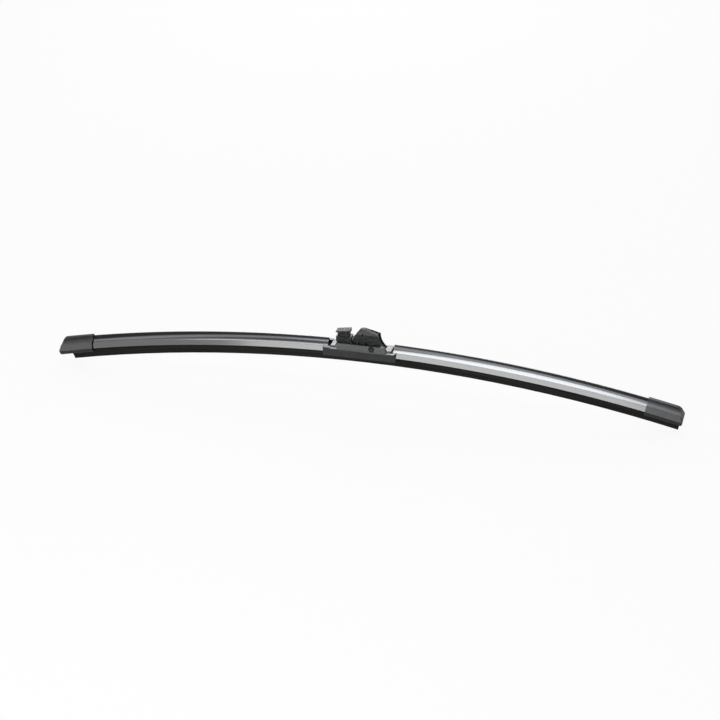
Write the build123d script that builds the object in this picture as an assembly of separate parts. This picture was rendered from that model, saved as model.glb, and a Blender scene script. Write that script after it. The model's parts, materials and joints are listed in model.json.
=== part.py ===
from build123d import *
import os
from math import cos, copysign, degrees, hypot, radians, tan

# Flat wiper blade in millimetres: +X along the blade, +Y to its rear edge, +Z away from the glass.
# Heights start at the wiping lip in the blade's middle, and stations run along the bowed lip.
# The finished pieces are moved at the end, so that the pivot axis passes through the origin.

# Whole blade
BLADE_LENGTH = 553.6  # along the lip, over both end caps
BOW_RADIUS = 1228.0  # of the lip, before an arm presses the blade flat
SEAT_PLAY = 0.15  # between pieces that seat in each other
SLIDE_PLAY = 0.15  # around the rails, in the grooves that hold them
OVERCUT = 1.0  # how far a cutting tool runs past the face it opens

# Wiper rubber, from the lip up
RUBBER_INSET_LEFT = 9.1  # from the blade's left end to the rubber's
RUBBER_INSET_RIGHT = 1.6  # from the blade's right end to the rubber's
LIP_THICKNESS = 0.7
LIP_ROOT = 1.3  # thickness where the lip meets the wedge
LIP_HEIGHT = 3.0
WEDGE_WIDTH = 6.2
WEDGE_RISE = 5.0
WEDGE_SIDE = 0.9  # height of the wedge's upright sides
WEB_THICKNESS = 1.0  # tilting web above the wedge
WEB_HEIGHT = 0.9
FLANGE_WIDTH = 8.6  # under the rails
FLANGE_THICKNESS = 3.0
HEAD_WIDTH = 6.0  # over the rails
HEAD_THICKNESS = 0.7
HEAD_BEVEL = 0.35

# Spring rails
RAIL_INSET = 6.6  # from the blade's ends to the rails' ends
RAIL_WIDTH = 4.35
RAIL_THICKNESS = 0.9
RAIL_GAP = 2.8  # between the two rails

# Spoiler halves, with heights from the spoiler's base
SPOILER_WIDTH = 15.1
SPOILER_WALL = 1.2
SPOILER_LEDGE = 0.7  # thickness of the ledge over the rails
CLAW_THICKNESS = 0.5  # of the claws under the rails
SPOILER_START = 28.0  # station of the right half's end beside the connector
SPOILER_SETBACK = 1.1  # how much further out the left half's end is
CREASE_INSET = 2.05  # front crease, from the front edge
CREASE_RISE = 4.0
RIDGE_SETBACK = 1.1  # front edge of the ridge, behind the mid-plane
RIDGE_THICKNESS = 0.9
RIDGE_RISE = 8.4
REAR_KNEE_INSET = 0.35  # from the rear edge
REAR_KNEE_RISE = 2.0
FACE_DISH = 0.75  # how deep the front face is dished
REAR_DISH = 0.35

# End caps
CAP_LENGTH = 32.2
CAP_WALL = 1.2
CAP_PLAY = 0.2  # between a cap and the spoiler end that it covers
CAP_TUCK = 6.0  # length of spoiler inside the right cap
CAP_SEAM = 0.85  # open seam between the left cap and its spoiler half
SEAM_DEPTH = 1.5  # of the recess in the left cap, behind the seam
CAP_KNEE_RISE = 0.6  # from the spoiler's base to where a cap's sides turn in
CAP_DEPTH = 3.4  # from the spoiler's base to a cap's foot
CAP_FOOT_WIDTH = 15.4
CAP_FOOT_ROUND = 1.6  # rounding of the foot at the blade's end
NOSE_UPRIGHT = 4.0  # height of the upright part of the end
NOSE_RAKE = 4.7  # how far the end leans back above it, up to the top
NOSE_ROUND = 5.1  # between the raked end and the top
NOSE_EDGE = 0.7  # bevel of the end's other edges

# Connector base
FLOOR_THICKNESS = 0.65  # over the rubber's head
PLINTH_BEHIND = 33.3  # from the blade's middle to the plinth's left end
PLINTH_AHEAD = 31.6  # from the blade's middle to the plinth's right end
PLINTH_DEPTH = 7.2
PLINTH_CORNER = 2.0
PLINTH_EDGE = 0.5  # rounding of the upper edges
COLLAR_WALL = 1.05  # beside the spoiler ends, play included
COLLAR_RISE = 0.7
COLLAR_BEHIND = 27.0  # from the blade's middle to the left collar
COLLAR_AHEAD = 30.2  # from the blade's middle to the right collar
PLATFORM_RIM = 0.4  # of the raised floor between the spoiler ends, beside the adapter's well
PLATFORM_RISE = 1.2
PLATFORM_SLOPE = 1.4  # how far its sides slope out towards their foot
PLATFORM_GAP = 1.4  # to each spoiler end
WELL_PLAY = 0.9  # at both ends of the well that the adapter swings in
CHEEK_GAP = 8.6
CHEEK_WALL = 2.7  # at the top and at the pin's seats
CHEEK_FLARE = 1.1  # how far each cheek's foot stands out
CHEEK_RISE = 4.9
CHEEK_BEHIND = 30.5  # from the pivot to the cheeks' left end
FRONT_CHEEK_AHEAD = 12.8  # from the pivot to the front cheek's right end
REAR_CHEEK_AHEAD = 5.6  # from the pivot to the rear cheek's right end
CHEEK_TOE = 4.3  # rounding of the right ends
CHEEK_HEEL = 1.0  # rounding of the left ends

# Pivot between the blade and the arm adapter
PIVOT_STATION = 9.9  # from the blade's middle
PIVOT_RISE = 2.7  # above the plinth
PIN_DIAMETER = 3.6
PIN_HEAD_RIM = 0.6  # how far a head stands out around the pin
PIN_HEAD_THICKNESS = 0.7
PIN_DIMPLE = 2.4
PIN_DIMPLE_DEPTH = 0.5
PIN_SEAT = 0.02  # radial room in the cheeks
PIN_PLAY = 0.05  # radial running room in the adapter
LUG_RIM = 0.2  # of cheek around a pin head
TILT = 8.0  # degrees that the adapter can turn either way
TILT_SPARE = 0.5  # degrees of room left at each stop
FLOOR_PLAY = 0.3  # under the adapter when it stands at a stop

# Arm adapter, measured from the pivot
ADAPTER_PLAY = 0.35  # to each cheek
BOSS_WALL = 0.85
LOCK_REACH = 20.6  # to the near face of the lock post's neck
NECK_LENGTH = 9.9
NECK_WIDTH = 6.0
NECK_RISE = 3.5
BLOCK_TOP = 7.1  # of the block under the lock post
BLOCK_HEEL = 1.4  # how far the block reaches past the neck
LOCK_HEAD_WIDTH = 7.0
LOCK_HEAD_BEHIND = 1.7  # overhang at the far end
LOCK_HEAD_AHEAD = 0.9  # overhang at the near end
LOCK_HEAD_LOW = 0.9  # thickness at the far end
LOCK_HEAD_HIGH = 2.9  # thickness at the near end
SLIT_SETBACK = 1.9  # from the neck to the slit that frees the lock post
SLIT_WIDTH = 0.8
SLIT_DEPTH = 4.8
VALLEY_LENGTH = 0.7  # of the flat between slit and hump
VALLEY_DROP = 1.2  # from the block's top to that flat
HUMP_RUN = 7.4
HUMP_RISE = 9.3  # over the block
HUMP_TAPER = 2.2  # how far each side leans in, from the tail tip's height to the hump's
HUMP_RADIUS = 5.0
TAIL_TIP_REACH = 5.8
TAIL_TIP_HEIGHT = 11.1
TAIL_FOOT_REACH = 10.6
TAIL_SWEEP = 1.4  # how deep the tail's end is hollowed
TAIL_RIM = 1.0  # thickness of the rims beside the tail's channel
TAIL_CHANNEL = 1.2
ROOF_EDGE = 0.8  # rounding along the roof
ROOF_SLOT_BEHIND = 2.4
ROOF_SLOT_AHEAD = 4.2
ROOF_SLOT_WIDTH = 2.0
ROOF_SLOT_OFFSET = 1.4  # towards the rear side
ROOF_SLOT_DEPTH = 2.6
TOOL_HOLE_REACH = 8.3
TOOL_HOLE_HEIGHT = 11.0
TOOL_HOLE_DIAMETER = 1.6
RECESS_COUNT = 3
RECESS_FIRST = 16.0  # reach of the recess nearest the lock post
RECESS_PITCH = 5.6
RECESS_WIDTH = 3.2
RECESS_TOP = 5.2
RECESS_DEPTH = 1.1

# Values that follow from the sizes above
BOW_AXIS = Axis((0, 0, -BOW_RADIUS), (0, 1, 0))
BLADE_END = BLADE_LENGTH / 2
RAIL_END = BLADE_END - RAIL_INSET
RAIL_EDGE = RAIL_GAP / 2 + RAIL_WIDTH
RUBBER_START = RUBBER_INSET_LEFT - BLADE_END
RUBBER_END = BLADE_END - RUBBER_INSET_RIGHT
WEDGE_TOP = LIP_HEIGHT + WEDGE_RISE
FLANGE_LOW = WEDGE_TOP + WEB_HEIGHT
GROOVE_LOW = FLANGE_LOW + FLANGE_THICKNESS
RAIL_HEIGHT = GROOVE_LOW + SLIDE_PLAY
GROOVE_HIGH = RAIL_HEIGHT + RAIL_THICKNESS + SLIDE_PLAY
HEAD_TOP = GROOVE_HIGH + HEAD_THICKNESS
SPOILER_BASE = GROOVE_LOW - CLAW_THICKNESS
RIDGE_HEIGHT = SPOILER_BASE + RIDGE_RISE
CAP_START = BLADE_END - CAP_LENGTH
CAP_GROWTH = CAP_WALL + CAP_PLAY
CAP_TOP = RIDGE_HEIGHT + CAP_GROWTH
CAP_KNEE = SPOILER_BASE + CAP_KNEE_RISE
CAP_BASE = SPOILER_BASE - CAP_DEPTH
PLINTH_TOP = HEAD_TOP + SEAT_PLAY + FLOOR_THICKNESS
PLINTH_BASE = PLINTH_TOP - PLINTH_DEPTH
PLINTH_WIDTH = SPOILER_WIDTH + 2 * COLLAR_WALL
COLLAR_TOP = PLINTH_TOP + COLLAR_RISE
PLATFORM_TOP = PLINTH_TOP + PLATFORM_RISE
PLATFORM_END = SPOILER_START - PLATFORM_GAP
CHEEK_WIDTH = CHEEK_GAP + 2 * CHEEK_WALL
CHEEK_TOP = PLINTH_TOP + CHEEK_RISE
PIVOT_HEIGHT = PLINTH_TOP + PIVOT_RISE
PIN_HEAD_RADIUS = PIN_DIAMETER / 2 + PIN_HEAD_RIM
LUG_RADIUS = PIN_HEAD_RADIUS + LUG_RIM
BOSS_RADIUS = PIN_DIAMETER / 2 + PIN_PLAY + BOSS_WALL
ADAPTER_WIDTH = CHEEK_GAP - 2 * ADAPTER_PLAY
NECK_END = LOCK_REACH + NECK_LENGTH
BLOCK_REACH = NECK_END + BLOCK_HEEL
LOCK_HEAD_BASE = BLOCK_TOP + NECK_RISE
SLIT_REACH = LOCK_REACH - SLIT_SETBACK
VALLEY_REACH = SLIT_REACH - SLIT_WIDTH - VALLEY_LENGTH
HUMP_REACH = VALLEY_REACH - HUMP_RUN
HUMP_HEIGHT = BLOCK_TOP + HUMP_RISE


def outline(points):
    """Closed straight-sided region."""
    return make_face(Polyline(*points, close=True))


def band(half_width, low, high):
    """Rectangle across the mid-plane between two heights."""
    return outline([(-half_width, low), (half_width, low), (half_width, high), (-half_width, high)])


def along_bow(section, start, end):
    """Run a cross-section, drawn as (distance to the rear, height), along the bow between stations."""
    first = (Plane.YZ * section).rotate(BOW_AXIS, degrees(start / BOW_RADIUS))
    return revolve(first, BOW_AXIS, degrees((end - start) / BOW_RADIUS))


def along_straight(section, start, end):
    """Run a cross-section straight along the blade, between distances from its middle."""
    return extrude(Plane.YZ.offset(start) * section, end - start)


def across(profile, width):
    """Extrude a side view, drawn as (along the blade, height), evenly about the mid-plane."""
    return extrude(Plane.XZ * profile, width / 2, both=True)


def pushed_out(low, high, growth, height):
    """Where the line low-high, pushed away from the mid-plane by a growth, lies at a height."""
    lean = (high[0] - low[0]) / (high[1] - low[1])
    return low[0] + lean * (height - low[1]) + copysign(growth * hypot(1, lean), low[0])


# Cross-sections


def rail_section(side, play):
    """Strip in one groove of the rubber, grown by a play; side is -1 in front and +1 behind."""
    inner = side * (RAIL_GAP / 2 - play)
    outer = side * (RAIL_EDGE + play)
    low = RAIL_HEIGHT - play
    high = RAIL_HEIGHT + RAIL_THICKNESS + play
    return outline([(inner, low), (outer, low), (outer, high), (inner, high)])


def rubber_section():
    """Squeegee: lip, wedge, tilting web, flange, core between the rails, and head."""
    core = RAIL_GAP / 2 - SLIDE_PLAY
    half = [
        (LIP_THICKNESS / 2, 0),
        (LIP_ROOT / 2, LIP_HEIGHT),
        (WEDGE_WIDTH / 2, WEDGE_TOP - WEDGE_SIDE),
        (WEDGE_WIDTH / 2, WEDGE_TOP),
        (WEB_THICKNESS / 2, WEDGE_TOP),
        (WEB_THICKNESS / 2, FLANGE_LOW),
        (FLANGE_WIDTH / 2, FLANGE_LOW),
        (FLANGE_WIDTH / 2, GROOVE_LOW),
        (core, GROOVE_LOW),
        (core, GROOVE_HIGH),
        (HEAD_WIDTH / 2, GROOVE_HIGH),
        (HEAD_WIDTH / 2, HEAD_TOP - HEAD_BEVEL),
        (HEAD_WIDTH / 2 - HEAD_BEVEL, HEAD_TOP),
    ]
    return outline(half + [(-y, height) for y, height in reversed(half)])


def rubber_room():
    """Space that a moulding leaves for the rubber, open below."""
    room = band(WEDGE_WIDTH / 2 + SEAT_PLAY, -OVERCUT, GROOVE_LOW)
    room += band(FLANGE_WIDTH / 2 + SEAT_PLAY, FLANGE_LOW - SEAT_PLAY, GROOVE_LOW)
    room += band(HEAD_WIDTH / 2 + SEAT_PLAY, GROOVE_LOW, HEAD_TOP + SEAT_PLAY)
    return room


FRONT_FOOT = (-SPOILER_WIDTH / 2, SPOILER_BASE)
CREASE = (CREASE_INSET - SPOILER_WIDTH / 2, SPOILER_BASE + CREASE_RISE)
RIDGE_FRONT = (RIDGE_SETBACK, RIDGE_HEIGHT)
RIDGE_REAR = (RIDGE_SETBACK + RIDGE_THICKNESS, RIDGE_HEIGHT)
REAR_KNEE = (SPOILER_WIDTH / 2 - REAR_KNEE_INSET, SPOILER_BASE + REAR_KNEE_RISE)
REAR_FOOT = (SPOILER_WIDTH / 2, SPOILER_BASE)


def spoiler_outline():
    """Outside of the spoiler: skirt, crease, dished front face, ridge and steep rear face."""
    edges = [
        Line(FRONT_FOOT, CREASE),
        SagittaArc(CREASE, RIDGE_FRONT, -FACE_DISH),
        Line(RIDGE_FRONT, RIDGE_REAR),
        SagittaArc(RIDGE_REAR, REAR_KNEE, -REAR_DISH),
        Polyline(REAR_KNEE, REAR_FOOT, FRONT_FOOT),
    ]
    return make_face(edges)


def spoiler_section():
    """Hollow spoiler whose claws close under the rails' outer edges."""
    hollow = offset(spoiler_outline(), amount=-SPOILER_WALL, kind=Kind.INTERSECTION)
    hollow &= band(SPOILER_WIDTH, GROOVE_HIGH + SPOILER_LEDGE, RIDGE_HEIGHT)
    section = spoiler_outline() - hollow
    section -= band(HEAD_WIDTH / 2 + SEAT_PLAY, GROOVE_HIGH, GROOVE_HIGH + SPOILER_LEDGE)
    section -= band(RAIL_EDGE + SLIDE_PLAY, GROOVE_LOW, GROOVE_HIGH)
    section -= band(FLANGE_WIDTH / 2 + SEAT_PLAY, SPOILER_BASE, GROOVE_LOW)
    return section


def cap_section():
    """Outside of an end cap: the spoiler's outline grown, over a skirt that turns in to the foot."""
    front_knee = (pushed_out(FRONT_FOOT, CREASE, CAP_GROWTH, CAP_KNEE), CAP_KNEE)
    rear_knee = (pushed_out(REAR_FOOT, REAR_KNEE, CAP_GROWTH, CAP_KNEE), CAP_KNEE)
    foot = CAP_FOOT_WIDTH / 2
    shell = offset(spoiler_outline(), amount=CAP_GROWTH, kind=Kind.INTERSECTION)
    shell &= band(SPOILER_WIDTH, CAP_KNEE, CAP_TOP)
    return shell + outline([front_knee, rear_knee, (foot, CAP_BASE), (-foot, CAP_BASE)])


def plinth_section(top):
    """Plinth of the connector up to a height, with rounded upper edges."""
    block = band(PLINTH_WIDTH / 2, PLINTH_BASE, top)
    return fillet(block.vertices().group_by(Axis.Y)[-1], PLINTH_EDGE)


# Pieces of the blade


def make_rubber():
    return along_bow(rubber_section(), RUBBER_START, RUBBER_END)


def make_rail(side):
    return along_bow(rail_section(side, 0), -RAIL_END, RAIL_END)


def make_spoiler(start, tuck):
    """Right half, from the connector to a tuck inside the cap, or to a seam before it."""
    return along_bow(spoiler_section(), start, CAP_START + tuck)


def rail_and_rubber_room(start, end):
    """Room along the bow for both rails and the rubber."""
    slots = rail_section(-1, SLIDE_PLAY) + rail_section(1, SLIDE_PLAY)
    return along_bow(rubber_room() + slots, start, end)


def make_end_cap(rubber_inset, mouth_depth):
    """Right end cap: a blind moulding that slides over rails and rubber, with a mouth for the spoiler."""
    reach = CAP_LENGTH + OVERCUT
    under = CAP_BASE - OVERCUT
    raked_end = [(0, under), (0, CAP_BASE + NOSE_UPRIGHT), (-NOSE_RAKE, CAP_TOP)]
    side_view = outline(raked_end + [(-reach, CAP_TOP), (-reach, under)])
    side_view = fillet(side_view.vertices().group_by(Axis.Y)[-1].sort_by(Axis.X)[-1], NOSE_ROUND)
    nose = across(side_view, 2 * SPOILER_WIDTH).rotate(BOW_AXIS, degrees(BLADE_END / BOW_RADIUS))
    cap = along_bow(cap_section(), CAP_START, BLADE_END + OVERCUT) & nose
    cap = fillet(cap.edges().filter_by(Axis.Y).sort_by(Axis.Z)[0], CAP_FOOT_ROUND)
    nose_start = BLADE_END - NOSE_RAKE - NOSE_ROUND
    rim = cap.edges().filter_by(Axis.Y, reverse=True).filter_by(lambda edge: edge.center().X > nose_start)
    cap = chamfer(rim, NOSE_EDGE)
    mouth = offset(spoiler_outline(), amount=CAP_PLAY, kind=Kind.INTERSECTION)
    cap -= along_bow(mouth, CAP_START - OVERCUT, CAP_START + mouth_depth)
    cap -= along_bow(rubber_room(), CAP_START - OVERCUT, BLADE_END - rubber_inset + SEAT_PLAY)
    cap -= rail_and_rubber_room(CAP_START, RAIL_END + SEAT_PLAY)
    return cap


def make_plinth():
    """Long block with rounded corners, and a raised collar at each end."""
    block = along_straight(band(PLINTH_WIDTH / 2, PLINTH_BASE, COLLAR_TOP), -PLINTH_BEHIND, PLINTH_AHEAD)
    bar = along_straight(plinth_section(PLINTH_TOP), -PLINTH_BEHIND, PLINTH_AHEAD)
    bar += along_straight(plinth_section(COLLAR_TOP), -PLINTH_BEHIND, -COLLAR_BEHIND)
    bar += along_straight(plinth_section(COLLAR_TOP), COLLAR_AHEAD, PLINTH_AHEAD)
    return fillet(block.edges().filter_by(Axis.Z), PLINTH_CORNER) & bar


def cheek_profile(ahead):
    """Side view of a cheek, up to a distance ahead of the pivot, with a lug for the pin."""
    low = PLINTH_TOP - PLINTH_EDGE
    left = PIVOT_STATION - CHEEK_BEHIND
    right = PIVOT_STATION + ahead
    cheek = outline([(left, low), (right, low), (right, CHEEK_TOP), (left, CHEEK_TOP)])
    cheek = fillet(cheek.vertices().group_by(Axis.Y)[-1].sort_by(Axis.X)[-1], CHEEK_TOE)
    cheek = fillet(cheek.vertices().group_by(Axis.X)[0].sort_by(Axis.Y)[-1], CHEEK_HEEL)
    return cheek + Pos(PIVOT_STATION, PIVOT_HEIGHT) * Circle(LUG_RADIUS)


def make_cradle():
    """Two flared cheeks for the pin, the rear one shorter, on a platform with a well for the adapter."""
    low = PLINTH_TOP - PLINTH_EDGE
    inner = CHEEK_WIDTH / 2
    outer = inner + CHEEK_FLARE
    lug_top = CHEEK_TOP + LUG_RADIUS
    flare = [(outer, low), (inner, CHEEK_TOP), (inner, lug_top)]
    flare = outline(flare + [(-y, height) for y, height in reversed(flare)])
    cheeks = extrude(Plane.XZ * cheek_profile(FRONT_CHEEK_AHEAD), outer)
    cheeks += extrude(Plane.XZ * cheek_profile(REAR_CHEEK_AHEAD), -outer)
    cheeks &= along_straight(flare, -PLINTH_BEHIND, PLINTH_AHEAD)
    cheeks -= along_straight(band(CHEEK_GAP / 2, low, lug_top), -PLINTH_BEHIND, PLINTH_AHEAD)

    rim = CHEEK_GAP / 2 + PLATFORM_RIM
    foot = rim + PLATFORM_SLOPE
    mound = [(foot, low), (foot, PLINTH_TOP), (rim, PLATFORM_TOP)]
    mound = outline(mound + [(-y, height) for y, height in reversed(mound)])
    platform = along_straight(mound, -PLATFORM_END, PLATFORM_END)
    well_start = PIVOT_STATION - BLOCK_REACH - WELL_PLAY
    well_end = PIVOT_STATION + TAIL_FOOT_REACH + WELL_PLAY
    well = along_straight(band(CHEEK_GAP / 2, PLINTH_TOP, PLATFORM_TOP), well_start, well_end)
    return cheeks + platform - well


def make_connector_base():
    """Plinth that clasps the rails and covers both spoiler ends, with a cradle for the adapter."""
    base = make_plinth() + make_cradle()
    reach = max(PLINTH_BEHIND, PLINTH_AHEAD) + OVERCUT
    base -= rail_and_rubber_room(-reach, reach)
    pocket = offset(spoiler_outline(), amount=SEAT_PLAY, kind=Kind.INTERSECTION)
    right_pocket = along_bow(pocket, PLATFORM_END, reach)
    base -= right_pocket + mirror(right_pocket, about=Plane.YZ)

    at_pivot = Pos(PIVOT_STATION, PIVOT_HEIGHT)
    base -= across(at_pivot * Circle(BOSS_RADIUS + FLOOR_PLAY), CHEEK_GAP)
    base -= across(at_pivot * Circle(PIN_DIAMETER / 2 + PIN_SEAT), PLINTH_WIDTH)
    head_room = at_pivot * Circle(PIN_HEAD_RADIUS + SEAT_PLAY)
    return base - (across(head_room, PLINTH_WIDTH) - across(head_room, CHEEK_WIDTH))


def make_pivot_pin():
    """Rivet with a dimpled head on the outside of each cheek, turned about the pivot axis."""
    neck = CHEEK_WIDTH / 2
    tip = neck + PIN_HEAD_THICKNESS
    half = [
        (0, tip - PIN_DIMPLE_DEPTH),
        (PIN_DIMPLE / 2, tip),
        (PIN_HEAD_RADIUS, tip),
        (PIN_HEAD_RADIUS, neck),
        (PIN_DIAMETER / 2, neck),
    ]
    turned = outline(half + [(radius, -station) for radius, station in reversed(half)])
    return Pos(PIVOT_STATION, 0, PIVOT_HEIGHT) * revolve(turned, Axis.Y)


# Arm adapter, drawn about the pivot


def underside(reach):
    """Height of the adapter's underside at a distance from the pivot, clear of the plinth at each stop."""
    drop = PIVOT_RISE - FLOOR_PLAY
    lean = radians(TILT + TILT_SPARE)
    return reach * tan(lean) - drop / cos(lean)


def adapter_profile():
    """Side view: block under the lock post, valley, hump, sloping roof, swept tail and boss."""
    heel = (-BLOCK_REACH, underside(BLOCK_REACH))
    block_top = (-BLOCK_REACH, BLOCK_TOP)
    slit_top = (SLIT_WIDTH - SLIT_REACH, BLOCK_TOP)
    slit_side = (SLIT_WIDTH - SLIT_REACH, BLOCK_TOP - VALLEY_DROP)
    valley = (-VALLEY_REACH, BLOCK_TOP - VALLEY_DROP)
    hump = (-HUMP_REACH, HUMP_HEIGHT)
    tip = (TAIL_TIP_REACH, TAIL_TIP_HEIGHT)
    foot = (TAIL_FOOT_REACH, underside(TAIL_FOOT_REACH))
    body = make_face(
        [
            Polyline(heel, block_top, slit_top, slit_side, valley, hump, tip),
            SagittaArc(tip, foot, -TAIL_SWEEP),
            Polyline(foot, (0, underside(0)), heel),
        ]
    )
    return fillet(body.vertices().sort_by(Axis.Y)[-1], HUMP_RADIUS) + Circle(BOSS_RADIUS)


def tapered_hump():
    """Space that the hump's sides keep to, upright up to the tail tip's height and leaning in above it."""
    side = ADAPTER_WIDTH / 2
    crown = side - HUMP_TAPER
    half = [(side, underside(BLOCK_REACH) - BLOCK_REACH), (side, TAIL_TIP_HEIGHT), (crown, HUMP_HEIGHT)]
    space = outline(half + [(-y, height) for y, height in reversed(half)])
    return along_straight(space, -BLOCK_REACH, TAIL_FOOT_REACH)


def lock_post():
    """T-shaped post with a ramped head, for the window in the arm's channel."""
    neck = outline(
        [
            (-NECK_END, BLOCK_TOP - OVERCUT),
            (-LOCK_REACH, BLOCK_TOP - OVERCUT),
            (-LOCK_REACH, LOCK_HEAD_BASE),
            (-NECK_END, LOCK_HEAD_BASE),
        ]
    )
    far = -NECK_END - LOCK_HEAD_BEHIND
    near = -LOCK_REACH + LOCK_HEAD_AHEAD
    head = outline(
        [
            (far, LOCK_HEAD_BASE),
            (near, LOCK_HEAD_BASE),
            (near, LOCK_HEAD_BASE + LOCK_HEAD_HIGH),
            (far, LOCK_HEAD_BASE + LOCK_HEAD_LOW),
        ]
    )
    return across(neck, NECK_WIDTH) + across(head, LOCK_HEAD_WIDTH)


def slit():
    """Narrow cut that lets the lock post flex."""
    middle = -SLIT_REACH + SLIT_WIDTH / 2
    rise = SLIT_DEPTH + OVERCUT
    cut = Pos(middle, BLOCK_TOP + OVERCUT - rise / 2) * Rectangle(SLIT_WIDTH, rise)
    return across(cut, ADAPTER_WIDTH)


def tail_channel():
    """Hollow between the two rims of the swept tail."""
    foot = (TAIL_FOOT_REACH - TAIL_CHANNEL, underside(TAIL_FOOT_REACH))
    tip = (TAIL_TIP_REACH - TAIL_CHANNEL, TAIL_TIP_HEIGHT)
    past = TAIL_FOOT_REACH + OVERCUT
    channel = make_face(
        [
            SagittaArc(tip, foot, -TAIL_SWEEP),
            Polyline(foot, (past, foot[1]), (past, HUMP_HEIGHT), (tip[0], HUMP_HEIGHT), tip),
        ]
    )
    return across(channel, ADAPTER_WIDTH - 2 * TAIL_RIM)


def roof_slot():
    """Blind slot in the roof, off the mid-plane."""
    middle = (ROOF_SLOT_AHEAD - ROOF_SLOT_BEHIND) / 2
    floor = TAIL_TIP_HEIGHT - ROOF_SLOT_DEPTH
    slot = SlotOverall(ROOF_SLOT_BEHIND + ROOF_SLOT_AHEAD, ROOF_SLOT_WIDTH)
    return extrude(Pos(middle, ROOF_SLOT_OFFSET, floor) * slot, HUMP_HEIGHT - floor)


def side_recesses():
    """Row of round-topped recesses that lighten both sides, open below."""
    low = underside(BLOCK_REACH) - RECESS_WIDTH
    spring = RECESS_TOP - RECESS_WIDTH / 2
    recess = Pos(0, spring) * Circle(RECESS_WIDTH / 2) + band(RECESS_WIDTH / 2, low, spring)
    row = Sketch()
    for index in range(RECESS_COUNT):
        row += Pos(index * RECESS_PITCH - RECESS_FIRST, 0) * recess
    return across(row, ADAPTER_WIDTH) - across(row, ADAPTER_WIDTH - 2 * RECESS_DEPTH)


def make_adapter():
    """Moulded adapter with its T-shaped lock post, turning on the pin between the cheeks."""
    adapter = across(adapter_profile(), ADAPTER_WIDTH) & tapered_hump()
    roof = [edge for edge in adapter.edges() if edge.center().Z > TAIL_TIP_HEIGHT and edge.center().Y != 0]
    adapter = fillet(roof, ROOF_EDGE) + lock_post()
    adapter -= slit()
    adapter -= tail_channel()
    adapter -= roof_slot()
    adapter -= side_recesses()
    tool_hole = Pos(-TOOL_HOLE_REACH, TOOL_HOLE_HEIGHT) * Circle(TOOL_HOLE_DIAMETER / 2)
    bore = Circle(PIN_DIAMETER / 2 + PIN_PLAY)
    adapter -= across(tool_hole + bore, ADAPTER_WIDTH)
    return Pos(PIVOT_STATION, 0, PIVOT_HEIGHT) * adapter


pieces = {
    "wiper_rubber": make_rubber(),
    "front_rail": make_rail(-1),
    "rear_rail": make_rail(1),
    "left_spoiler": mirror(make_spoiler(SPOILER_START + SPOILER_SETBACK, -CAP_SEAM), about=Plane.YZ),
    "right_spoiler": make_spoiler(SPOILER_START, CAP_TUCK),
    "left_end_cap": mirror(make_end_cap(RUBBER_INSET_LEFT, SEAM_DEPTH), about=Plane.YZ),
    "right_end_cap": make_end_cap(RUBBER_INSET_RIGHT, CAP_TUCK + SEAT_PLAY),
    "connector_base": make_connector_base(),
    "pivot_pin": make_pivot_pin(),
    "arm_adapter": make_adapter(),
}

os.makedirs("parts", exist_ok=True)
to_pivot = Pos(-PIVOT_STATION, 0, -PIVOT_HEIGHT)
for name, piece in pieces.items():
    export_step(to_pivot * piece, f"parts/{name}.step")
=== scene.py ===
# %% [markdown]
# A flat wiper blade in a photo studio
#
# A flat wiper blade is a bowed strip: a rubber squeegee on two spring rails, under a hollow spoiler, with
# moulded end caps, and in the middle a connector that carries the adapter for the wiper arm.
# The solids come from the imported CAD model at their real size, and this lesson moves none of them.
# It sets up the camera and the lights, gives each piece the finish of the real material, and remakes the
# glossy spoiler from the same section in a finer mesh.

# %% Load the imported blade
import json
from math import asin, atan2, cos, pi, radians, sin

import bpy
from mathutils import Matrix, Vector

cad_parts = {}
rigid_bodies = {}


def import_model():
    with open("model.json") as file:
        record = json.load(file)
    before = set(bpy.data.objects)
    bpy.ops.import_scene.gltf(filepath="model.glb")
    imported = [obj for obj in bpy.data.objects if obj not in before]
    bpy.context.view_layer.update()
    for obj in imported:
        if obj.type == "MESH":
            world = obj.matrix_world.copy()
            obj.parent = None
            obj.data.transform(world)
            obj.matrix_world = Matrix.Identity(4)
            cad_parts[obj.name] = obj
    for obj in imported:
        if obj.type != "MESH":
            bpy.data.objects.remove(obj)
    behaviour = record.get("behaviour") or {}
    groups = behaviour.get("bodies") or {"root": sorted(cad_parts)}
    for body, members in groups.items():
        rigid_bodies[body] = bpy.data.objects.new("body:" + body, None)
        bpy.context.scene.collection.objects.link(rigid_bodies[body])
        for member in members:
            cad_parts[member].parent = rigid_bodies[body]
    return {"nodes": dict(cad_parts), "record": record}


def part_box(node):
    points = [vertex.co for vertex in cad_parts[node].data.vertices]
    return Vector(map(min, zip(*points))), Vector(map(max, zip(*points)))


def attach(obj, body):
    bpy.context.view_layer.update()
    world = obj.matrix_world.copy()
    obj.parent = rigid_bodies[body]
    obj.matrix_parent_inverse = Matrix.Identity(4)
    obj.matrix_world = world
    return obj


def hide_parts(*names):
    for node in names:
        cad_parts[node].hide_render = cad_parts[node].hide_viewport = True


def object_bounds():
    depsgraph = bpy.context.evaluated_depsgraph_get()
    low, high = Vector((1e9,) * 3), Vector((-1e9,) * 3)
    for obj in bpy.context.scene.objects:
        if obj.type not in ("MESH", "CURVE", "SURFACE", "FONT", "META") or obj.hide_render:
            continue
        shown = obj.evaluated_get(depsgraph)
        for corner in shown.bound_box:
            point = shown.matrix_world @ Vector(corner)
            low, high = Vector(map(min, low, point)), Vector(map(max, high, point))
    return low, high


MILLIMETRE = 0.001


def in_millimetres(box):
    """The two corners of a box, for printing."""
    return [[round(c / MILLIMETRE, 1) for c in corner] for corner in box]


for leftover in list(bpy.data.objects):
    bpy.data.objects.remove(leftover)

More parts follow.
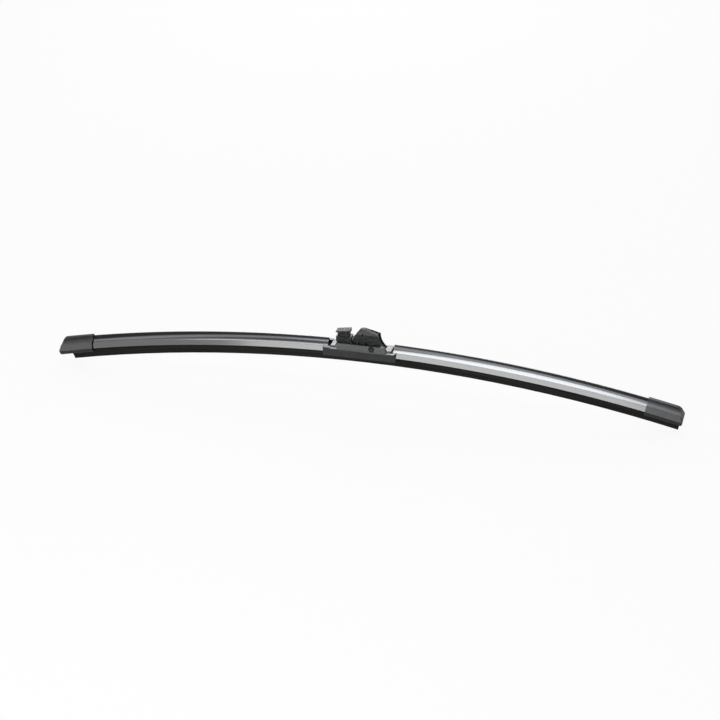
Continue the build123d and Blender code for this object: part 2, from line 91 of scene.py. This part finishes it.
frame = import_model()
nodes = frame["nodes"]
CAD_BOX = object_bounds()
print("pieces:", ", ".join(sorted(nodes)))
print("box in mm:", in_millimetres(CAD_BOX))

# %% [markdown]
# The camera
#
# The picture is a catalogue shot: a long lens, a little to the right of the blade's front and well above it.
# A camera can be aimed by hand or with a Track To constraint. Here three angles and a distance say it best,
# because they are what a photographer would set on a tripod, and the last one, the roll, levels the blade.

# %% Set the camera on its tripod
AZIMUTH = radians(15.26)  # to the right of the blade's front
ELEVATION = radians(28.82)
ROLL = radians(-1.05)
DISTANCE = 1.917  # metres from the aim point
AIM = Vector((-0.0121, 0.0003, -0.0159))  # just above the lip, near the middle of the blade
LENS = 111.5  # millimetres
SENSOR = 36  # millimetres wide

turn = Matrix.Rotation(AZIMUTH, 4, "Z") @ Matrix.Rotation(pi / 2 - ELEVATION, 4, "X")
turn = turn @ Matrix.Rotation(ROLL, 4, "Z")
camera = bpy.data.objects.new("camera", bpy.data.cameras.new("camera"))
camera.data.lens = LENS
camera.data.sensor_width = SENSOR
camera.matrix_world = Matrix.Translation(AIM + turn.to_3x3() @ Vector((0, 0, DISTANCE))) @ turn
bpy.context.scene.collection.objects.link(camera)
bpy.context.scene.camera = camera
bpy.context.scene.view_settings.view_transform = "Standard"
print("camera at", [round(c, 4) for c in camera.location])

# %% [markdown]
# Floor and background
#
# The blade stands on the ends of its lip, on a white table. White paper sweeps up behind it, and the rest of
# the studio is dark, so that black plastic stays black.
# A lamp on the paper would also light the blade, so the white comes from the materials instead. A Light Path
# node tells who is looking. For the camera, the paper is a plain glow of strength 1, and so is most of the
# table. The rest of the table is an ordinary matt surface, which keeps a soft shadow under the bow. For
# bounced light and in mirrors the table is a dimmer grey, because a white one would light the black
# undersides.

# %% A helper for node trees
def add_node(tree, kind, links=None, **settings):
    """Add a node, set its sockets and properties by name, and link outputs of other nodes to its inputs."""
    node = tree.nodes.new(kind)
    for name, value in settings.items():
        socket = node.inputs.get(name.replace("_", " "))
        if socket is None:
            setattr(node, name, value)
        else:
            socket.default_value = value
    for name, output in (links or {}).items():
        tree.links.new(output, node.inputs[name])
    return node


# %% White paper behind, dark studio in front
PAPER_SIDE = (0, 0.77, -0.64)  # the direction in which the paper is whitest
PAPER_EDGE = (-0.62, 0.05)  # share of that direction where the paper begins, and where it is full white
DARK_STUDIO = 0.06
PURE_WHITE = (1, 1, 1, 1)

world = bpy.data.worlds.new("paper sweep")
world.use_nodes = True
tree = world.node_tree
tree.nodes.clear()
direction = add_node(tree, "ShaderNodeTexCoord")
share = add_node(tree, "ShaderNodeVectorMath", operation="DOT_PRODUCT")
tree.links.new(direction.outputs["Generated"], share.inputs[0])
share.inputs[1].default_value = PAPER_SIDE
sweep = add_node(
    tree,
    "ShaderNodeMapRange",
    {"Value": share.outputs["Value"]},
    From_Min=PAPER_EDGE[0],
    From_Max=PAPER_EDGE[1],
    To_Min=DARK_STUDIO,
    To_Max=1.0,
)
rays = add_node(tree, "ShaderNodeLightPath")
strength = add_node(tree, "ShaderNodeMath", operation="MAXIMUM")
tree.links.new(sweep.outputs[0], strength.inputs[0])
tree.links.new(rays.outputs["Is Camera Ray"], strength.inputs[1])
paper = add_node(tree, "ShaderNodeBackground", {"Strength": strength.outputs[0]}, Color=PURE_WHITE)
add_node(tree, "ShaderNodeOutputWorld", {"Surface": paper.outputs[0]})
bpy.context.scene.world = world
print(world.name, "from", DARK_STUDIO, "in front to 1 behind")

# %% A matt surface with a glow
def glowing_top(tree, colour, share):
    """Matt surface with a share of plain white glow, which is a number or another node's output."""
    matt = add_node(tree, "ShaderNodeBsdfDiffuse", Color=colour)
    glow = add_node(tree, "ShaderNodeEmission", Color=PURE_WHITE, Strength=1.0)
    mixed = add_node(tree, "ShaderNodeMixShader")
    if isinstance(share, float):
        mixed.inputs[0].default_value = share
    else:
        tree.links.new(share, mixed.inputs[0])
    tree.links.new(matt.outputs[0], mixed.inputs[1])
    tree.links.new(glow.outputs[0], mixed.inputs[2])
    return mixed.outputs[0]


# %% White table
TABLE_SIZE = 8.0  # metres
WHITE_TOP = (0.9, 0.9, 0.9, 1)
GREY_TOP = (0.4, 0.4, 0.4, 1)
WHITE_SHARE = 0.9  # of plain white in what the camera sees of the table
MIRROR_SHARE = 0.15  # of plain white in what mirrors and glass show of it

bpy.ops.mesh.primitive_plane_add(size=TABLE_SIZE, location=(0, 0, CAD_BOX[0].z))
table = bpy.context.object
table.name = "table"
table_top = bpy.data.materials.new("table top")
table_top.use_nodes = True
tree = table_top.node_tree
tree.nodes.clear()
rays = add_node(tree, "ShaderNodeLightPath")
mirrored = add_node(tree, "ShaderNodeMath", operation="MAXIMUM")
tree.links.new(rays.outputs["Is Glossy Ray"], mirrored.inputs[0])
tree.links.new(rays.outputs["Is Transmission Ray"], mirrored.inputs[1])
mirror_share = add_node(tree, "ShaderNodeMapRange", {"Value": mirrored.outputs[0]}, To_Max=MIRROR_SHARE)
seen = add_node(tree, "ShaderNodeMixShader", {"Fac": rays.outputs["Is Camera Ray"]})
tree.links.new(glowing_top(tree, GREY_TOP, mirror_share.outputs[0]), seen.inputs[1])
tree.links.new(glowing_top(tree, WHITE_TOP, WHITE_SHARE), seen.inputs[2])
add_node(tree, "ShaderNodeOutputMaterial", {"Surface": seen.outputs[0]})
table.data.materials.append(table_top)
print("table at", round(table.location.z, 4))

# %% [markdown]
# Softboxes
#
# A black glossy profile shows its form only through what it mirrors, so each lamp hangs where one face
# mirrors it. A softbox in front, with a dimmer one beside it, shows in the skirt of the spoiler. Two slanted
# strips overhead are the faint bands on the dished faces of its halves. A window behind lights the flat
# shelves of the connector. The long white streak on the right half is the image of three more lamps overhead:
# a wide one, a bright core and a dim tail. Two low cards show in what leans back a little: the connector's
# cheeks and the left end cap.
# An area light states its power. Here a softbox states its brightness as seen in a mirror, and the power
# follows from its area, so a larger one doesn't change the streak's brightness.
# Black plastic mirrors a tenth of a lamp or less, so the streak and the cards have to be bright. They show in
# mirrors alone, and the light on the matt surfaces stays at a plain level.
# The lamps overhead are slightly blue, as daylight tubes are, and the dim one in front is slightly warm.

# %% A softbox, and one that only mirrors show
ELLIPSE_SHARE = pi / 4  # of the area of the rectangle around it


def softbox(name, centre, size, brightness, along, colour):
    """Rectangular lamp that faces the pivot pin with its width along a direction, out of the picture."""
    width, height = size
    back = Vector(centre).normalized()
    side = Vector(along)
    side = (side - side.project(back)).normalized()
    lamp = bpy.data.lights.new(name, "AREA")
    lamp.shape = "RECTANGLE"
    lamp.size = width
    lamp.size_y = height
    lamp.energy = brightness * pi * width * height
    lamp.color = colour
    holder = bpy.data.objects.new(name, lamp)
    turned = Matrix((side, back.cross(side), back)).transposed()
    holder.matrix_world = Matrix.Translation(centre) @ turned.to_4x4()
    holder.visible_camera = False
    bpy.context.scene.collection.objects.link(holder)
    print(name, "of", width, "by", height, "m")
    return holder


def mirrored_softbox(*settings):
    """Elliptical lamp that only glossy surfaces show."""
    holder = softbox(*settings)
    holder.data.shape = "ELLIPSE"
    holder.data.energy *= ELLIPSE_SHARE
    holder.visible_diffuse = False


# %% Hang the softboxes
PLAIN = (1.0, 1.0, 1.0)
DAYLIGHT = (0.92, 0.955, 1.0)
WARM = (1.0, 0.95, 0.93)
LEVEL = (1, 0, 0)

# name, centre, width and height in metres, brightness, direction of the width, colour
for settings in (
    ("front softbox", (-0.1, -1.2, 0.36), (0.96, 0.78), 3.4, LEVEL, PLAIN),
    ("front fill", (-1.08, -1.2, 0.36), (1.0, 0.78), 0.82, LEVEL, WARM),
    ("left strip", (-0.67, -0.17, 1.0), (0.88, 0.32), 1.25, (0.78, -0.62, 0), DAYLIGHT),
    ("right strip", (0.05, -0.3, 1.0), (0.93, 0.48), 1.6, (0.93, 0.36, 0), DAYLIGHT),
    ("back window", (-0.33, 1.2, 0.7), (0.5, 0.6), 5.5, LEVEL, PLAIN),
):
    softbox(*settings)
for settings in (
    ("streak softbox", (0.11, 0.26, 1.0), (0.81, 0.82), 4.3, LEVEL, DAYLIGHT),
    ("core of the streak", (0.1, 0.22, 0.98), (0.56, 0.62), 1.9, LEVEL, DAYLIGHT),
    ("tail of the streak", (-0.44, 0.6, 1.0), (0.72, 0.42), 2.7, (0.6, -0.45, 0), DAYLIGHT),
    ("low card", (0.1, -1.0, 0.07), (1.7, 0.22), 2.2, LEVEL, PLAIN),
    ("left low card", (-1.3, -1.0, 0.1), (1.2, 0.3), 6.0, LEVEL, PLAIN),
):
    mirrored_softbox(*settings)

# %% [markdown]
# Finishes
#
# Each finish starts from a Principled shader. What is the same all over is set on the shader itself.
# What varies comes from noise in the blade's own metres: a fine bump for the grain of the mould or the
# drag lines of the extrusion die, with a colour that is lighter on the bumps than in the hollows, which is
# partly random tone and partly painted highlight on the bumps and painted shade in the hollows, and a slow
# drift of roughness, so that no surface is dead even.
# Drag lines run along the bow, and not straight along X, so extruded pieces read their noise in coordinates
# that are bent like the blade: arc length, width and height.

# %% Coordinates that follow the bow
BOW_RADIUS = 1.228  # metres, of the lip
LIP_DEPTH = 0.0173  # of the lip under the pivot axis, in the blade's middle
RAIL_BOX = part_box("front_rail")
BLADE_MIDDLE = (RAIL_BOX[0].x + RAIL_BOX[1].x) / 2
BOW_CENTRE = Vector((BLADE_MIDDLE, 0, -BOW_RADIUS - LIP_DEPTH))


def straight_coordinates(tree):
    """Metres along the axes of the blade."""
    return add_node(tree, "ShaderNodeTexCoord").outputs["Object"]


def bowed_coordinates(tree):
    """Arc length along the bow, width across it, and height above its centre."""
    from_centre = add_node(tree, "ShaderNodeVectorMath", operation="SUBTRACT")
    tree.links.new(straight_coordinates(tree), from_centre.inputs[0])
    from_centre.inputs[1].default_value = BOW_CENTRE
    split = add_node(tree, "ShaderNodeSeparateXYZ", {"Vector": from_centre.outputs[0]})
    angle = add_node(tree, "ShaderNodeMath", operation="ARCTAN2")
    tree.links.new(split.outputs["X"], angle.inputs[0])
    tree.links.new(split.outputs["Z"], angle.inputs[1])
    arc = add_node(tree, "ShaderNodeMath", operation="MULTIPLY")
    tree.links.new(angle.outputs[0], arc.inputs[0])
    arc.inputs[1].default_value = BOW_RADIUS
    upright = add_node(tree, "ShaderNodeCombineXYZ", {"X": split.outputs["X"], "Y": split.outputs["Z"]})
    height = add_node(tree, "ShaderNodeVectorMath", {"Vector": upright.outputs[0]}, operation="LENGTH")
    bent = {"X": arc.outputs[0], "Y": split.outputs["Y"], "Z": height.outputs["Value"]}
    return add_node(tree, "ShaderNodeCombineXYZ", bent).outputs[0]


print("blade's middle at", round(BLADE_MIDDLE, 5))

# %% A finish with grain
NOISE_SPAN = {"From_Min": 0.3, "From_Max": 0.7}  # nearly all values of a noise lie in here
FINE_DETAIL = 3.0
SLOW_DETAIL = 2.0
SLOW_SCALE = 0.05  # of the slow noise, beside the fine one
SHADED_HOLLOW_COLOUR = 6  # sockets of a Mix node for colours
HIGHLIT_BUMP_COLOUR = 7
MIXED_COLOUR = 2
EDGE_SAMPLES = 4


def finish(name, colour, roughness, drift, grain, depth, stretch=1.0, edge=0.0, mottle_and_hollow_shade=0.15, **sockets):
    """Principled material: grain is the width of its bumps and depth their height, in millimetres.

    drift is how far the roughness wanders, stretch is how many times longer than wide the grain is along
    the bow, edge is the radius in millimetres to which sharp edges are softened, and mottle is the share by
    which the colour of bumps and hollows differs."""
    material = bpy.data.materials.new(name)
    material.use_nodes = True
    tree = material.node_tree
    tree.nodes.clear()
    place = bowed_coordinates(tree) if stretch > 1 else straight_coordinates(tree)
    drawn = add_node(tree, "ShaderNodeMapping", {"Vector": place}, Scale=(1 / stretch, 1, 1)).outputs[0]
    width = grain * MILLIMETRE
    fine = add_node(tree, "ShaderNodeTexNoise", {"Vector": drawn}, Scale=1 / width, Detail=FINE_DETAIL)
    slow_scale = SLOW_SCALE / width
    slow = add_node(tree, "ShaderNodeTexNoise", {"Vector": drawn}, Scale=slow_scale, Detail=SLOW_DETAIL)
    span = {"To_Min": roughness - drift, "To_Max": roughness + drift}
    rough = add_node(tree, "ShaderNodeMapRange", {"Value": slow.outputs[0]}, **NOISE_SPAN, **span)
    raised = add_node(tree, "ShaderNodeMapRange", {"Value": fine.outputs[0]}, **NOISE_SPAN)
    # Bumps get a lighter colour and hollows a darker one: random tone, with painted highlight on the bumps
    # and painted shade in the hollows.
    tint_and_shade = add_node(tree, "ShaderNodeMix", {"Factor": raised.outputs[0]}, data_type="RGBA")
    tint_and_shade.inputs[SHADED_HOLLOW_COLOUR].default_value = tuple((1 - mottle_and_hollow_shade) * c for c in colour) + (1,)
    tint_and_shade.inputs[HIGHLIT_BUMP_COLOUR].default_value = tuple((1 + mottle_and_hollow_shade) * c for c in colour) + (1,)
    bump = add_node(tree, "ShaderNodeBump", {"Height": fine.outputs[0]}, Strength=1.0)
    bump.inputs["Distance"].default_value = depth * MILLIMETRE
    if edge:
        soft = add_node(tree, "ShaderNodeBevel", samples=EDGE_SAMPLES, Radius=edge * MILLIMETRE)
        tree.links.new(soft.outputs[0], bump.inputs["Normal"])
    varied = {"Base Color": tint_and_shade.outputs[MIXED_COLOUR], "Roughness": rough.outputs[0]}
    varied["Normal"] = bump.outputs[0]
    shader = add_node(tree, "ShaderNodeBsdfPrincipled", varied)
    for socket, value in sockets.items():
        shader.inputs[socket.replace("_", " ")].default_value = value
    add_node(tree, "ShaderNodeOutputMaterial", {"Surface": shader.outputs[0]})
    return material


# %% [markdown]
# Rubber, steel and lacquer
#
# Three finishes are made by the metre, and fine lines run along all of them. The squeegee is extruded rubber
# with a dull coat of graphite, which lies unevenly, so its colour is mottled. The rails are rolled and then
# tempered, which turns steel dark. The spoiler is an extruded elastomer under a thin lacquer.
# A stripe texture would draw lines that never end. Noise that is stretched along the bow gives lines that
# come and go. The lacquer is a Coat over a rougher body, so that a streak of light has a soft edge around it.

# %% Finishes that are drawn along the blade
DRAG = 60.0  # how many times longer than wide the drag lines are

finishes = {}
finishes["rubber"] = finish(
    "graphited rubber",
    colour=(0.018, 0.018, 0.0165),
    roughness=0.6,
    drift=0.08,
    grain=1.1,
    depth=0.02,
    stretch=DRAG,
    # uneven graphite coat, partly painted highlight on the bumps and painted shade in the hollows
    mottle_and_hollow_shade=0.5,
    Specular_IOR_Level=0.1,
)
finishes["spring_steel"] = finish(
    "tempered spring steel",
    colour=(0.12, 0.124, 0.134),
    roughness=0.45,
    drift=0.08,
    grain=0.3,
    depth=0.003,
    stretch=DRAG,
    Metallic=1.0,
)
finishes["spoiler"] = finish(
    "lacquered elastomer",
    colour=(0.008, 0.008, 0.01),
    roughness=0.3,
    drift=0.03,
    grain=0.5,
    depth=0.002,
    stretch=DRAG,
    Coat_Weight=1.0,
    Coat_Roughness=0.13,
    Coat_IOR=2.0,
)
print("drawn finishes:", ", ".join(finishes))

# %% [markdown]
# Moulded plastic and the rivet
#
# Caps, connector and adapter are moulded, and their grain is the grain of the mould. On the caps and the
# connector it is fine, with a satin shine. On the adapter it is coarse and mottles the faces, and its colour
# is strongly lighter on the bumps and darker in the hollows, as painted highlight and painted shade. The
# rivet is blackened, so a dark skin hides its metal.
# The edge of a moulding is never quite sharp and catches a thin line of light. A Bevel modifier would cut
# into the solids, which stay as they are here. A Bevel node leaves them and only bends the shading.

# %% Finishes that come out of a mould, and the rivet's
finishes["cap"] = finish(
    "fine moulded grain",
    colour=(0.012, 0.0125, 0.013),
    roughness=0.36,
    drift=0.05,
    grain=0.25,
    depth=0.012,
    edge=0.25,
    Specular_IOR_Level=0.85,
)
finishes["connector"] = finish(
    "satin moulding",
    colour=(0.012, 0.014, 0.014),
    roughness=0.34,
    drift=0.05,
    grain=0.3,
    depth=0.012,
    edge=0.2,
    Specular_IOR_Level=0.85,
)
finishes["pin"] = finish(
    "blackened rivet",
    colour=(0.008, 0.008, 0.009),
    roughness=0.45,
    drift=0.06,
    grain=0.3,
    depth=0.01,
    edge=0.1,
    Specular_IOR_Level=0.4,
)
finishes["adapter"] = finish(
    "coarse moulded grain",
    colour=(0.006, 0.007, 0.007),
    roughness=0.44,
    drift=0.06,
    grain=1.6,
    depth=0.45,
    edge=0.15,
    # strong painted highlight on the bumps and painted shade in the hollows of the coarse grain
    mottle_and_hollow_shade=0.9,
    Specular_IOR_Level=0.52,
)
print("all finishes:", ", ".join(finishes))

# %% Dress the pieces
for part in frame["record"]["subparts"]:
    nodes[part["node"]].material_slots[0].material = finishes[part["material_slot"]]
    print(part["node"], "has", finishes[part["material_slot"]].name)

# %% [markdown]
# The section of the spoiler
#
# The spoiler is one extrusion: a hollow section with two dished faces, a ridge between them, a skirt in front
# and claws below that slide over the rails. On a lacquered face every flat facet shows as a kink in the
# streak of light, so the two halves are remade from many fine steps.
# A section can be drawn as a curve. Here its corners are worked out as points, because each face is an arc
# with a known dish, the ridge has to touch both of them, and the hollow keeps a wall of even thickness.
# All sizes are millimetres from the mid-plane and above the lip.

# %% The outside of the section
HALF_WIDTH = 7.55
BASE = 11.4
CREASE = Vector((-5.5, 15.4))
RIDGE_FRONT = Vector((1.1, 19.8))
RIDGE_REAR = Vector((2.0, 19.8))
RIDGE_RADIUS = 0.6
REAR_KNEE = Vector((7.2, 13.4))
FACE_DISH = 0.75
REAR_DISH = 0.35
ARC_STEPS = 20
RIDGE_STEPS = 8


def hollow_arc(start, end, depth, wall=0.0):
    """Points of an arc that is dished below its chord, moved into the material by a wall."""
    chord = end - start
    radius = (chord.length_squared / 4 + depth * depth) / (2 * depth)
    outward = Vector((-chord.y, chord.x)).normalized()
    centre = (start + end) / 2 + outward * (radius - depth)
    half_angle = asin(chord.length / 2 / radius)
    points = []
    for step in range(ARC_STEPS + 1):
        angle = half_angle * (2 * step / ARC_STEPS - 1)
        spoke = chord.normalized() * sin(angle) - outward * cos(angle)
        points.append(centre + spoke * (radius + wall))
    return points


def rounded_ridge(front, rear):
    """Front and rear face, with a round between them that touches both."""
    rise = (front[-1] - front[-2]).normalized()
    fall = (rear[1] - rear[0]).normalized()
    under_front = front[-1] + Vector((rise.y, -rise.x)) * RIDGE_RADIUS
    under_rear = rear[0] + Vector((fall.y, -fall.x)) * RIDGE_RADIUS
    middle = under_front + rise * ((under_rear - under_front).cross(fall) / rise.cross(fall))
    first = atan2(rise.y, rise.x)
    last = atan2(fall.y, fall.x)
    leans = [first + (last - first) * step / RIDGE_STEPS for step in range(RIDGE_STEPS + 1)]
    ridge = [middle + Vector((-sin(lean), cos(lean))) * RIDGE_RADIUS for lean in leans]
    front = [p for p in front if (p - ridge[0]).dot(rise) < 0]
    rear = [p for p in rear if (p - ridge[-1]).dot(fall) > 0]
    return front + ridge + rear


front_face = hollow_arc(CREASE, RIDGE_FRONT, FACE_DISH)
rear_face = hollow_arc(RIDGE_REAR, REAR_KNEE, REAR_DISH)
front_foot = Vector((-HALF_WIDTH, BASE))
outside = [front_foot] + rounded_ridge(front_face, rear_face) + [Vector((HALF_WIDTH, BASE))]
print("outside of the spoiler has", len(outside), "corners")

# %% The hollow, and the claws around the rails
WALL = 1.2
WALL_SLACK = 0.01  # by which a point of the hollow may lie nearer to the outside
LEDGE_TOP = 13.8
CORNER_ROOM = 0.5  # above the ledge, for the rounded corners of the hollow
LEDGE_LOW = 13.1  # also the top of the room for the rails
CLAW_TOP = 11.9
HEAD_ROOM = 3.15  # half widths of the room for the rubber's head, the rails and the flange
RAIL_ROOM = 5.9
FLANGE_ROOM = 4.45


def in_hollow(point, faces):
    """Whether a point is well above the ledge, and a wall's thickness from the points of the faces."""
    clear = all((point - other).length >= WALL - WALL_SLACK for other in faces)
    return point.y > LEDGE_TOP + CORNER_ROOM and clear


skirt = [front_foot.lerp(CREASE, step / ARC_STEPS) for step in range(ARC_STEPS + 1)]
cavity = hollow_arc(CREASE, RIDGE_FRONT, FACE_DISH, WALL)
cavity += hollow_arc(RIDGE_REAR, REAR_KNEE, REAR_DISH, WALL)
cavity = [p for p in cavity if in_hollow(p, skirt + front_face + rear_face)]
skirt_lean = (CREASE - front_foot).normalized()
skirt_inside = front_foot + Vector((skirt_lean.y, -skirt_lean.x)) * WALL
cavity_front = skirt_inside + skirt_lean * ((LEDGE_TOP - skirt_inside.y) / skirt_lean.y)
cavity_rear = Vector((cavity[-1].x, LEDGE_TOP))
step_in = [(FLANGE_ROOM, BASE), (FLANGE_ROOM, CLAW_TOP), (RAIL_ROOM, CLAW_TOP)]
step_in += [(RAIL_ROOM, LEDGE_LOW), (HEAD_ROOM, LEDGE_LOW), (HEAD_ROOM, LEDGE_TOP)]
step_out = [(-y, height) for y, height in reversed(step_in)]
section = outside + [Vector(p) for p in step_in] + [cavity_rear] + cavity[::-1] + [cavity_front]
section += [Vector(p) for p in step_out]
print("spoiler section has", len(section), "corners")

# %% [markdown]
# The two halves of the spoiler
#
# Each half is cut from the same extrusion and slid over the rails from its end of the blade. A curve with a
# bevel profile could carry the section along the bow, but a mesh keeps each corner where it was placed, and
# its two cut ends are closed with one face each. A Bevel modifier then rounds the edges as the die does.

# %% Push the section along the bow
BOW_STEPS = 110


def on_bow(station, y, height):
    """Where a place along the lip, across the blade and above the lip is, in metres."""
    angle = station * MILLIMETRE / BOW_RADIUS
    radius = BOW_RADIUS + height * MILLIMETRE
    return BOW_CENTRE + Vector((radius * sin(angle), y * MILLIMETRE, radius * cos(angle)))


def extrude_along_bow(name, section, start, end):
    """Closed mesh of a section that runs along the bow, with its two cut ends."""
    corners = len(section)
    points = []
    for step in range(BOW_STEPS + 1):
        station = start + (end - start) * step / BOW_STEPS
        points += [on_bow(station, y, height) for y, height in section]
    faces = [list(range(corners)), [BOW_STEPS * corners + c for c in reversed(range(corners))]]
    for step in range(BOW_STEPS):
        for corner in range(corners):
            a = step * corners + corner
            b = step * corners + (corner + 1) % corners
            faces.append([a, a + corners, b + corners, b])
    mesh = bpy.data.meshes.new(name)
    mesh.from_pydata(points, [], faces)
    mesh.update()
    piece = bpy.data.objects.new(name, mesh)
    bpy.context.scene.collection.objects.link(piece)
    return piece


def point_outwards(piece):
    """Turn all faces of a closed mesh to the outside."""
    bpy.ops.object.select_all(action="DESELECT")
    piece.select_set(True)
    bpy.context.view_layer.objects.active = piece
    bpy.ops.object.mode_set(mode="EDIT")
    bpy.ops.mesh.select_all(action="SELECT")
    bpy.ops.mesh.normals_make_consistent(inside=False)
    bpy.ops.object.mode_set(mode="OBJECT")


# %% Make both halves and put them in place of the plain ones
RIGHT_HALF = (28.0, 250.6)  # millimetres from the blade's middle, along the lip, to inside the right cap
LEFT_HALF = (-29.1, -243.75)  # to just short of the left cap, where a seam stays open
DIE_RADIUS = 0.12  # millimetres, of the rounded edges
DIE_SEGMENTS = 3
SHARP_ANGLE = radians(25)  # an edge that turns by more gets rounded

for side, stretch in (("right", RIGHT_HALF), ("left", LEFT_HALF)):
    piece = extrude_along_bow(side + "_spoiler_extrusion", section, *stretch)
    point_outwards(piece)
    piece.data.shade_smooth()
    rounded = piece.modifiers.new("die radius", "BEVEL")
    rounded.width = DIE_RADIUS * MILLIMETRE
    rounded.segments = DIE_SEGMENTS
    rounded.limit_method = "ANGLE"
    rounded.angle_limit = SHARP_ANGLE
    rounded.harden_normals = True
    piece.data.materials.append(finishes["spoiler"])
    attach(piece, "blade")
    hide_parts(side + "_spoiler")
    print(piece.name, len(piece.data.polygons), "faces")
